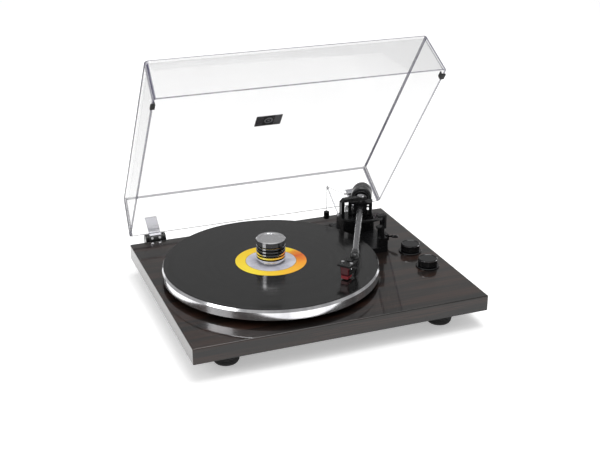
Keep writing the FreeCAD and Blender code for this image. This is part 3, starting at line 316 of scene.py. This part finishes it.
def badge_finish():
    """Grey plate; its middle square is black with a ring and a dot. Drawn on the badge's own map."""
    material, tree, shader = finish("badge_print", (0.1, 0.1, 0.1), 0.35)
    parts = node(tree, "SeparateXYZ", i0=node(tree, "UVMap", uv_map="badge").outputs[0])
    across, up = parts.outputs[0], parts.outputs[1]
    square = maths(tree, "LESS_THAN", maths(tree, "ABSOLUTE", across), 0.0085)
    far = maths(tree, "SQRT", maths(tree, "MULTIPLY_ADD", across, across, maths(tree, "MULTIPLY", up, up)))
    ring = maths(tree, "LESS_THAN", maths(tree, "ABSOLUTE", maths(tree, "SUBTRACT", far, 0.0055)), 0.0010)
    dot = maths(tree, "LESS_THAN", far, 0.0018)
    right = maths(tree, "GREATER_THAN", across, 0.0)
    ground = node(tree, "Mix", data_type="RGBA", i0=right, i6=(0.045, 0.045, 0.05, 1), i7=(0.12, 0.12, 0.13,
                                                                                           1))
    black = node(tree, "Mix", data_type="RGBA", i0=square, i6=ground.outputs[2], i7=(0.006, 0.006, 0.007, 1))
    mark = maths(tree, "MAXIMUM", ring, dot)
    print_ = node(tree, "Mix", data_type="RGBA", i0=mark, i6=black.outputs[2], i7=(0.30, 0.30, 0.32, 1))
    tree.links.new(print_.outputs[2], shader.inputs["Base Color"])
    rough_and_bump(tree, shader, grain(tree, 900.0), 0.28, 0.42, 0.04)
    return material


def cartridge_finish():
    """Black body whose front end is dark red with a pink glint."""
    material, tree, shader = finish("cartridge_black_and_red", (0.02, 0.01, 0.01), 0.22, Coat_Weight=0.5)
    parts = node(tree, "SeparateXYZ", i0=node(tree, "UVMap", uv_map="body").outputs[0])
    front = ramp(tree, parts.outputs[0], (0.0, (0.006, 0.005, 0.005)), (0.90, (0.006, 0.005, 0.005)),
                 (0.96, (0.05, 0.003, 0.005)), (1.0, (0.09, 0.006, 0.012)))
    tree.links.new(front, shader.inputs["Base Color"])
    rough_and_bump(tree, shader, grain(tree, 800.0), 0.16, 0.30, 0.05)
    return material


WALNUT = dark_walnut()
VINYL = vinyl()
LABEL = label_paper()
PLATTER = platter_metal()
CLEAR = clear_sheet("clear_acrylic", (0.22, 0.22, 0.23), (0.035, 0.16))
ACRYLIC_EDGE = clear_sheet("acrylic_cut_edge", (0.05, 0.045, 0.10), (0.62, 0.30), 0.15)
CHROME = metal("polished_chrome", (0.88, 0.88, 0.90), 0.03, 0.09, height=0.01)
STEEL = metal("satin_steel", (0.58, 0.58, 0.60), 0.18, 0.34)
ARM_METAL = metal("arm_tube_grey", (0.30, 0.30, 0.31), 0.22, 0.30, (1, 1, 1), 60.0, 0.005)
BRASS = metal("machined_brass", (0.72, 0.55, 0.26), 0.18, 0.34)
GLOSS_BLACK = plastic("gloss_black", (0.004, 0.004, 0.0045), 0.05, 0.12, 0.01, 500.0)
SATIN_BLACK = plastic("satin_black", (0.004, 0.004, 0.0045), 0.20, 0.34, 0.06, Specular_IOR_Level=0.35)
DARK_GREY = plastic("dark_grey_paint", (0.020, 0.020, 0.021), 0.22, 0.34, 0.06)
RUBBER = plastic("ribbed_rubber", (0.012, 0.012, 0.012), 0.55, 0.80, 0.35, 1400.0)
RED = plastic("red_stylus_holder", (0.30, 0.02, 0.03), 0.15, 0.28, 0.03)
COVER = plastic("cover_black", (0.020, 0.020, 0.021), 0.45, 0.65, 0.30, 1100.0)
CARD = plastic("circuit_green", (0.02, 0.12, 0.045), 0.3, 0.5, 0.2, 300.0)
THREAD = plastic("grey_thread", (0.20, 0.20, 0.20), 0.6, 0.8, 0.3, 3000.0)
HINGE_LEAF = hinge_leaf_finish()
BADGE = badge_finish()
CARTRIDGE = cartridge_finish()

FINISHES = {
    "plinth": WALNUT, "record_label": LABEL, "platter": PLATTER, "lid_bumpers": RUBBER,
    "hinge_leaves": HINGE_LEAF, "hinge_sockets": CLEAR, "circuit_board": CARD, "stylus": RED,
    "bottom_cover": COVER, "rear_panel": COVER, "belt": RUBBER, "sub_platter": SATIN_BLACK,
    "knob_rings": GLOSS_BLACK, "finger_lift": STEEL, "headshell_screws": CHROME, "hinge_leaf_screws": CHROME,
    "bearing_bush": BRASS, "pulley": BRASS, "signal_jacks": BRASS, "ground_post": BRASS,
    "spindle": STEEL, "bearing_ball": STEEL, "motor": STEEL, "foot_bolts": STEEL, "pivot_pins": STEEL,
    "yaw_pivots": STEEL, "skate_hook": STEEL, "hinge_pins": STEEL, "hinge_base_screws": STEEL,
    "arm_tube": ARM_METAL, "arm_collar": DARK_GREY, "thread_drop": THREAD, "power_inlet": SATIN_BLACK,
    "knob_pots": SATIN_BLACK,
}
for name, thing in frame["nodes"].items():
    chosen = FINISHES.get(name, SATIN_BLACK)
    thing.data.materials.clear()
    thing.data.materials.append(chosen)


# ---- mesh makers ----

def put(name, points, faces, materials, body, nodes=(), face_slots=None, maps=None, smooth=True):
    """Make a closed piece from points and faces, join its seams, ride it on a body and stand it for its
    nodes."""
    mesh = bpy.data.meshes.new(name)
    mesh.from_pydata(np.asarray(points).reshape(-1, 3).tolist(), [], faces)
    for material in materials:
        mesh.materials.append(material)
    if face_slots is not None:
        mesh.polygons.foreach_set("material_index", np.asarray(face_slots, np.int32))
    if maps:
        word, values = maps
        layer = mesh.uv_layers.new(name=word)
        corner = np.zeros(len(mesh.loops), np.int32)
        mesh.loops.foreach_get("vertex_index", corner)
        layer.data.foreach_set("uv", np.asarray(values, np.float32).reshape(-1, 2)[corner].ravel())
    whole = bmesh.new()
    whole.from_mesh(mesh)
    bmesh.ops.remove_doubles(whole, verts=whole.verts, dist=1e-6)
    bmesh.ops.recalc_face_normals(whole, faces=whole.faces)
    whole.to_mesh(mesh)
    whole.free()
    if smooth:
        mesh.polygons.foreach_set("use_smooth", np.ones(len(mesh.polygons), bool))
        mesh.set_sharp_from_angle(angle=math.radians(38))
    thing = bpy.data.objects.new(name, mesh)
    bpy.context.scene.collection.objects.link(thing)
    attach(thing, body)
    if nodes:
        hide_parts(*nodes)
    return thing


def grid_faces(rows, around):
    """Quads between neighbouring rings of a grid whose columns close on themselves."""
    i, j = np.meshgrid(np.arange(rows - 1), np.arange(around), indexing="ij")
    k = (j + 1) % around
    return np.stack([i * around + j, i * around + k, (i + 1) * around + k, (i + 1) * around + j],
                    -1).reshape(-1, 4)


def ring_profile(*corners, soft=0.0, steps=5):
    """A (radius, height) outline in mm; every inner corner is eased by a short quadratic curve."""
    points = np.array(corners, float)
    if soft <= 0:
        return points
    before, after = points[:-2], points[2:]
    middle = points[1:-1]
    back = before - middle
    ahead = after - middle
    reach_back = np.minimum(soft, 0.45 * np.linalg.norm(back, axis=1))[:, None]
    reach_ahead = np.minimum(soft, 0.45 * np.linalg.norm(ahead, axis=1))[:, None]
    start = middle + back / np.linalg.norm(back, axis=1)[:, None] * reach_back
    end = middle + ahead / np.linalg.norm(ahead, axis=1)[:, None] * reach_ahead
    t = np.linspace(0, 1, steps)[None, :, None]
    eased = (1 - t) ** 2 * start[:, None] + 2 * t * (1 - t) * middle[:, None] + t ** 2 * end[:, None]
    return np.vstack([points[:1], eased.reshape(-1, 2), points[-1:]])


def turned(profile, around=96, flute=0.0, flutes=0, fluted=(0, 0)):
    """Turn a (radius, height) profile about Z: x = r cos a, y = r sin a, z = h, in metres.
    Between two heights the radius dips by flute times a cosine of the angle, for a knurled wall."""
    r, h = profile[:, 0] * MM, profile[:, 1] * MM
    a = np.linspace(0, 2 * math.pi, around, endpoint=False)
    inside = ((profile[:, 1] >= fluted[0]) & (profile[:, 1] <= fluted[1]) & (profile[:, 0] > 2)).astype(float)
    dip = flute * MM * 0.5 * (1 - np.cos(flutes * a))
    reach = r[:, None] - inside[:, None] * dip[None, :]
    points = np.stack([reach * np.cos(a), reach * np.sin(a), np.repeat(h[:, None], around, 1)], -1)
    return points, grid_faces(len(r), around).tolist()


def rounded_ring(half_x, half_y, radius, steps=7):
    """The outline of a rounded rectangle: each corner's centre plus radius times (cos a, sin a)."""
    a = np.linspace(0, math.pi / 2, steps)
    quarter = np.array([0, 1, 2, 3])[:, None] * math.pi / 2 + a[None, :]
    side_x = np.array([1, -1, -1, 1])[:, None]
    side_y = np.array([1, 1, -1, -1])[:, None]
    x = side_x * (half_x - radius) + radius * np.cos(quarter)
    y = side_y * (half_y - radius) + radius * np.sin(quarter)
    return np.stack([x, y], -1).reshape(-1, 2)


def lofted(levels, steps=7):
    """Stack rounded rectangles given as (half x, half y, corner radius, centre x, centre y, height) in mm."""
    rings = []
    for half_x, half_y, radius, mid_x, mid_y, high in levels:
        flat = rounded_ring(half_x, half_y, radius, steps) + np.array([mid_x, mid_y])
        rings.append(np.column_stack([flat, np.full(len(flat), high)]))
    points = np.array(rings) * MM
    around = points.shape[1]
    faces = grid_faces(len(levels), around).tolist()
    faces.append(list(range(around))[::-1])
    faces.append(list(range((len(levels) - 1) * around, len(levels) * around)))
    return points, faces


def swept(path, radii, around=24):
    """A round tube: at each path point a circle of its own radius, square to the path's direction."""
    path = np.array(path, float)
    radii = np.array(radii, float)
    ahead = np.gradient(path, axis=0)
    ahead /= np.linalg.norm(ahead, axis=1)[:, None]
    up = np.where(np.abs(ahead[:, 2:3]) > 0.95, np.array([[0, 1.0, 0]]), np.array([[0, 0, 1.0]]))
    side = np.cross(ahead, up)
    side /= np.linalg.norm(side, axis=1)[:, None]
    over = np.cross(side, ahead)
    a = np.linspace(0, 2 * math.pi, around, endpoint=False)
    points = (path[:, None] + radii[:, None, None] *
              (side[:, None] * np.cos(a)[None, :, None] + over[:, None] * np.sin(a)[None, :, None]))
    faces = grid_faces(len(path), around).tolist()
    faces.append(list(range(around))[::-1])
    faces.append(list(range((len(path) - 1) * around, len(path) * around)))
    return points, faces


def curve_through(points, count):
    """A smooth run through a few points: a Catmull-Rom blend of each four neighbours."""
    p = np.array(points, float)
    p = np.vstack([2 * p[0] - p[1], p, 2 * p[-1] - p[-2]])
    s = np.linspace(0, len(p) - 3 - 1e-9, count)
    i = s.astype(int)
    t = (s - i)[:, None]
    a, b, c, d = p[i], p[i + 1], p[i + 2], p[i + 3]
    return 0.5 * (2 * b + (c - a) * t + (2 * a - 5 * b + 4 * c - d) * t ** 2 +
                  (3 * b - a - 3 * c + d) * t ** 3)


def turn_z(points, angle):
    """Turn about Z: (x cos - y sin, x sin + y cos)."""
    x, y, z = points[..., 0], points[..., 1], points[..., 2]
    c, s = math.cos(angle), math.sin(angle)
    return np.stack([x * c - y * s, x * s + y * c, z], -1)


def turn_x(points, angle):
    """Turn about X: (y cos - z sin, y sin + z cos)."""
    x, y, z = points[..., 0], points[..., 1], points[..., 2]
    c, s = math.cos(angle), math.sin(angle)
    return np.stack([x, y * c - z * s, y * s + z * c], -1)


# ---- record, stabiliser and platter detail ----

def record_disc():
    """A pressed disc: a round bead at its edge, a lower playing band with gaps, and a raised middle."""
    low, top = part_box("record")[0].z / MM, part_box("record")[1].z / MM
    outline = [(3.7, low), (148.8, low), (150.2, low + 0.2), (150.7, low + 0.75), (150.2, top - 0.2),
               (149.2, top - 0.05), (147.6, top - 0.20), (147.0, top - 0.22), (146.5, top - 0.22)]
    for gap in (128.0, 111.0, 93.0, 76.0):
        outline += [(gap + 1.2, top - 0.22), (gap + 0.9, top - 0.22), (gap + 0.6, top - 0.17), (gap - 0.6,
                                                                                                top - 0.17),
                    (gap - 0.9, top - 0.22), (gap - 1.2, top - 0.22)]
    outline += [(61.0, top - 0.22), (60.5, top - 0.22), (60.0, top - 0.17), (59.5, top - 0.17), (51.8,
                                                                                                 top - 0.17),
                (51.3, top - 0.17), (50.6, top), (50.1, top), (3.7, top), (3.7, low)]
    points, faces = turned(np.array(outline, float), 160)
    put("record_grooved_disc", points + [SPINDLE[0], SPINDLE[1], 0], faces, [VINYL], "platter_group",
        ["record"])


def stabiliser_weight():
    """A turned weight: a foot, a stack of bright ribs between dark grooves and a shallow dish in its top."""
    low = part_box("stabiliser")[0].z / MM
    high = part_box("stabiliser")[1].z / MM - low
    outline = [(3.8, 0), (15.5, 0), (17.2, 0.6), (17.2, 3.0)]
    for step in range(5):
        base = 4.4 + step * 4.6
        outline += [(17.0, base - 0.9), (17.0, base - 0.2), (19.9, base), (20.5, base + 0.3), (20.5,
                                                                                               base + 2.7),
                    (19.9, base + 3.0), (17.0, base + 3.2)]
    outline += [(17.0, high - 8.6), (20.0, high - 8.2), (20.5, high - 7.8), (20.5, high - 1.2),
                (19.5, high), (15.6, high), (14.8, high - 0.7), (0, high - 0.7)]
    shell = ring_profile(*outline)
    shell = np.vstack([shell, [[0, 20.0], [3.8, 20.0], [3.8, 0]]])
    points, faces = turned(shell, 128)
    radius = np.array(shell)[:-1, 0]
    groove = np.repeat(((radius < 19.95) & (np.array(shell)[:-1, 1] > 3.0) & (radius > 16)), 128).astype(int)
    groove[(len(shell) - 8) * 128:] = 0
    put("stabiliser_ribbed_weight", points + [SPINDLE[0], SPINDLE[1], low * MM], faces, [CHROME, GLOSS_BLACK],
        "stabiliser_body", ["stabiliser"], groove)


def foot(place):
    """A ribbed rubber bowl turned about its bolt, with a bolt hole up its middle."""
    low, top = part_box("foot_" + place)
    mid = (low + top) / 2
    high = (top.z - low.z) / MM
    outline = [(5.5, 12), (5.5, 0.0), (13.5, 0), (15.0, 0.6), (16.4, 2.2)]
    for step in range(4):
        base = 4.0 + step * 2.5
        swell = 17.3 + step * 0.55
        outline += [(swell - 0.9, base - 0.9), (swell, base), (swell, base + 0.8), (swell - 0.9, base + 1.5)]
    outline += [(18.3, high * 0.56), (18.3, high * 0.60), (20.0, high * 0.64), (20.0, high - 1), (19.0, high),
                (2.5, high), (2.5, 12), (5.5, 12)]
    points, faces = turned(ring_profile(*outline, soft=0.3, steps=3), 96)
    put("foot_ribbed_" + place, points + [mid.x, mid.y, low.z], faces, [RUBBER], "root",
        ["foot_" + place])


def knob(side):
    """A fluted drum with a bright bevelled top edge, a shallow dish and its shaft below."""
    low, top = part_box("knob_" + side)
    mid = (low + top) / 2
    high = (top.z - low.z) / MM
    start = high - 10.6
    outline = [(0, 0), (2.9, 0), (2.9, start), (12.6, start), (13.4, start + 0.5), (13.6, start + 1.2),
               (13.6, start + 2.0), (13.6, high - 2.6), (13.6, high - 1.8), (13.75, high - 1.5), (13.75,
                                                                                                  high - 1.0),
               (12.9, high - 0.1), (12.2, high), (11.6, high - 0.2), (11.0, high - 0.7), (0, high - 0.7)]
    profile = ring_profile(*outline)
    points, faces = turned(profile, 240, 0.45, 48, (start + 1.1, high - 1.7))
    rows = np.repeat(np.arange(len(profile) - 1), 240)
    bright = ((rows >= 8) & (rows <= 9)).astype(int)
    put("knob_cap_" + side, points + [mid.x, mid.y, low.z], faces, [GLOSS_BLACK, CHROME],
        f"knob_{side}_body", ["knob_" + side], bright)


# ---- tonearm ----

def on_arm_axis(points, behind):
    """Lay a piece turned about Z along the arm, its low end a distance in mm behind the pivot."""
    return turn_z(turn_x(points, -math.pi / 2) + [0, behind * MM, 0], -ARM_TURN) + PIVOT


def arm_tube():
    """A slim tube that swells a little at each end, turned from its outline along the arm."""
    outline = [(0, -172), (4.6, -172), (4.75, -171.5), (4.75, -166), (4.45, -165.4), (4.35, -120), (4.45,
                                                                                                    -40),
               (4.6, -26), (4.75, -25.4), (4.75, -18), (4.5, -17.6), (4.5, -11.5), (0, -11.5)]
    points, faces = turned(ring_profile(*outline, soft=0.3, steps=3), 64)
    put("arm_tube_tapered", on_arm_axis(points, 0), faces, [ARM_METAL], "arm_body", ["arm_tube"])


def counterweight():
    """A heavy drum with a soft front edge, two grooves, a fluted rear band and a bore for the stub."""
    outline = [(4.05, 36), (13.8, 36), (15.2, 36.5), (16.0, 38.0), (16.0, 49.5), (15.4, 50.0), (15.4, 51.0),
               (16.0, 51.5), (16.0, 52.6), (16.0, 60.0), (15.3, 60.6), (15.3, 61.6), (15.6, 62.2), (15.0,
                                                                                                    65.2),
               (14.2, 66.0), (9.5, 66.0), (8.9, 65.2), (4.05, 65.2), (4.05, 36)]
    points, faces = turned(ring_profile(*outline, soft=0.25, steps=3), 240, 0.35, 60, (51.8, 60.2))
    put("counterweight_drum", on_arm_axis(points, 0), faces, [DARK_GREY], "weight_body",
        ["counterweight"])


def tracking_dial():
    """A thin cone ring with a fluted edge for the finger."""
    outline = [(4.05, 31.5), (11.6, 31.5), (12.0, 31.9), (12.6, 34.6), (12.3, 35.5), (4.05, 35.5), (4.05,
                                                                                                    31.5)]
    points, faces = turned(ring_profile(*outline), 180, 0.4, 36, (31.8, 34.8))
    put("tracking_dial_fluted", on_arm_axis(points, 0), faces, [GLOSS_BLACK], "dial_body",
        ["tracking_dial"])


def in_shell(points):
    """From the headshell's own frame, forward along -Y from the arm's bend, to the row's."""
    return turn_z(points, -SHELL_TURN) + BEND


def cartridge():
    """A moulded body lofted in rounded rectangles, wider at its top flange and pinched to its nose."""
    levels = [(5.6, 9.0, 1.6, 0, -20.6, -16.4), (6.3, 10.0, 1.8, 0, -19.9, -15.9), (6.6, 10.6, 1.8, 0, -19.4,
                                                                                    -13.0),
              (6.6, 10.9, 1.8, 0, -19.1, -7.2), (7.0, 11.2, 1.6, 0, -18.8, -6.0), (7.5, 11.4, 1.4, 0, -18.6,
                                                                                   -5.4),
              (7.5, 11.4, 1.4, 0, -18.6, -2.9), (7.2, 11.1, 1.2, 0, -18.6, -2.42)]
    points, faces = lofted(levels)
    front = (-points[..., 1] - 7.2 * MM) / (22.8 * MM)
    rise = (points[..., 2] + 16.4 * MM) / (14 * MM)
    put("cartridge_moulded", in_shell(points), faces, [CARTRIDGE], "arm_body",
        ["cartridge"],
        maps=("body", np.stack([front, rise], -1)))


def finger_lift():
    """A flat blade bent in one smooth curve out from the headshell's side, round at its tip."""
    path = curve_through([(9.4, -27.0, -1.9), (14.0, -27.0, -1.9), (18.5, -27.2, -1.7), (22.0, -27.3, -0.4),
                          (25.2, -27.4, 1.4), (27.2, -27.4, 2.4)], 36) * MM
    width = np.concatenate([np.full(24, 1.55), np.linspace(1.55, 1.0, 8), [0.85, 0.65, 0.4, 0.1]])
    points, faces = swept(path, width * MM, 20)
    squeezed = path[:, None] + (points - path[:, None]) * np.array([0.35, 1.0, 0.28])
    put("finger_lift_blade", in_shell(squeezed), faces, [GLOSS_BLACK], "arm_body",
        ["finger_lift"])


def cue_lever():
    """A slim bent rod that rises from its shaft to a fatter soft grip."""
    low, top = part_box("cue_lever")
    start = np.array(joint("cue_lever_turn")["pos_m"])
    tip = np.array([top.x - 0.0016, low.y + 0.0016, top.z - 0.0022])
    root_end = np.array([low.x, start[1], start[2]])
    elbow = np.array([start[0] + 0.0084, start[1], start[2]])
    path = curve_through([root_end, (root_end + elbow) / 2, elbow, elbow * 0.55 + tip * 0.45, tip], 44)
    size = np.interp(np.linspace(0, 1, 44), [0, 0.45, 0.55, 0.66, 0.72, 0.95, 1.0], [2.0, 1.9, 1.4, 1.4, 2.3,
                                                                                     2.2, 1.2])
    points, faces = swept(path, size * MM, 24)
    put("cue_lever_bent", points, faces, [GLOSS_BLACK], "cue_lever_body", ["cue_lever"])


def skating_thread():
    """A fine thread from the arm's stub to the hook's eye, sagging a little as a parabola."""
    low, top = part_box("skate_hook")
    stub = turn_z(np.array([-26.2, 29.4, 8.8]) * MM, -ARM_TURN) + PIVOT
    eye = np.array([top.x - 0.0016, top.y - 0.0030, top.z - 0.0012])
    t = np.linspace(0, 1, 24)[:, None]
    path = stub * (1 - t) + eye * t - np.array([0, 0, 0.0012]) * (4 * t * (1 - t))
    points, faces = swept(path, np.full(24, 0.00028), 10)
    thing = put("skating_thread_run", points, faces, [THREAD], "root")
    thing.parent = None
    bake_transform(thing)


# ---- lid ----

def in_lid(points):
    """From the closed lid's frame about the hinge line to the open lid's place."""
    return turn_x(points, -LID_OPEN) + HINGE


def lid_shell():
    """An open clear box in rounded rectangles: outside wall, eased top edge, panel; then the inside back
    down.
    Wall inset = draft times height / 65; corners 5 mm outside and 2 mm inside."""
    rim, high, wall = 3.5, 65.0, 3.0
    outer, inner = [], []
    ease = np.linspace(0, math.pi / 2, 6)
    for up in (0.0, 0.6, 20.0, 42.0, high - 2.5):
        outer.append((4.6 * up / high, 4.2 * up / high, 5.0, up))
    for a in ease[1:]:
        lean = (high - 2.5 + 2.5 * math.sin(a)) / high
        drop = 2.5 * (1 - math.cos(a))
        outer.append((4.6 * lean + drop, 4.2 * lean + drop, 5.0 - drop, high - 2.5 + 2.5 * math.sin(a)))
    for up in (high - wall, high - wall - 1.5, 42.0, 20.0, 0.6, 0.0):
        edge = 0.8 if up > high - wall - 1 else 0.0
        inner.append((4.6 * up / high + wall + edge, 4.2 * up / high + wall + edge, 2.2, up))
    levels = []
    for side, end, radius, up in outer + inner:
        levels.append((207.2 - side, 168.5 - end, radius, 0, -11 - 168.5, rim + up))
    points, faces = lofted(levels, 9)
    around = points.shape[1]
    walls = faces[:-2]
    outside, inside = len(outer), len(inner)
    joining = np.arange(len(walls)) // around
    kept = [f for f, row in zip(walls, joining) if row != outside - 1]
    rows = joining[joining != outside - 1]
    column = np.tile(np.arange(around), len(levels) - 2)
    corner = (column % 9) < 8
    edge = corner | ((rows >= outside - 6) & (rows < outside - 1))
    first = [(outside - 1) * around + i for i in range(around)]
    second = [outside * around + i for i in range(around)][::-1]
    rim_faces = [[i, (i + 1) % around, (len(levels) - 1) * around + (i + 1) % around,
                  (len(levels) - 1) * around + i]
                 for i in range(around)]
    slots = np.concatenate([edge.astype(int), [0, 0], np.ones(around, int)])
    put("lid_clear_shell", in_lid(points), kept + [first, second] + rim_faces, [CLEAR, ACRYLIC_EDGE],
        "lid_body",
        ["lid"], slots)


def lid_badge():
    """A thin plate with soft edges on the lid's top panel, mapped across its width and depth."""
    levels = [(20.2, 11.7, 1.2, 0, -179.5, 68.5), (20.25, 11.75, 1.2, 0, -179.5, 69.0),
              (19.8, 11.3, 1.0, 0, -179.5, 69.3)]
    points, faces = lofted(levels)
    across = points[..., 0]
    deep = points[..., 1] + 179.5 * MM
    put("lid_badge_plate", in_lid(points), faces, [BADGE], "lid_body", ["lid_badge"],
        maps=("badge", np.stack([across, deep], -1)))


record_disc()
stabiliser_weight()
for place in ("front_left", "front_right", "back_left", "back_right"):
    foot(place)
for side in ("back", "front"):
    knob(side)
arm_tube()
counterweight()
tracking_dial()
cartridge()
finger_lift()
cue_lever()
skating_thread()
lid_shell()
lid_badge()


# ---- floor ----

def floor():
    """A wide pale floor, flat and white, that takes the soft shadow."""
    material, tree, shader = finish("pale_floor", (0.90, 0.90, 0.90), 0.35, Specular_IOR_Level=0.2,
                                    Emission_Color=(1, 1, 1, 1), Emission_Strength=0.38)
    rough_and_bump(tree, shader, grain(tree, 3.0), 0.30, 0.42, 0.01)
    mesh = bpy.data.meshes.new("floor")
    corners = np.array([(-8, -8, 0), (8, -8, 0), (8, 8, 0), (-8, 8, 0)], float)
    mesh.from_pydata(corners.tolist(), [], [[0, 1, 2, 3]])
    mesh.materials.append(material)
    thing = bpy.data.objects.new("floor", mesh)
    bpy.context.scene.collection.objects.link(thing)


floor()
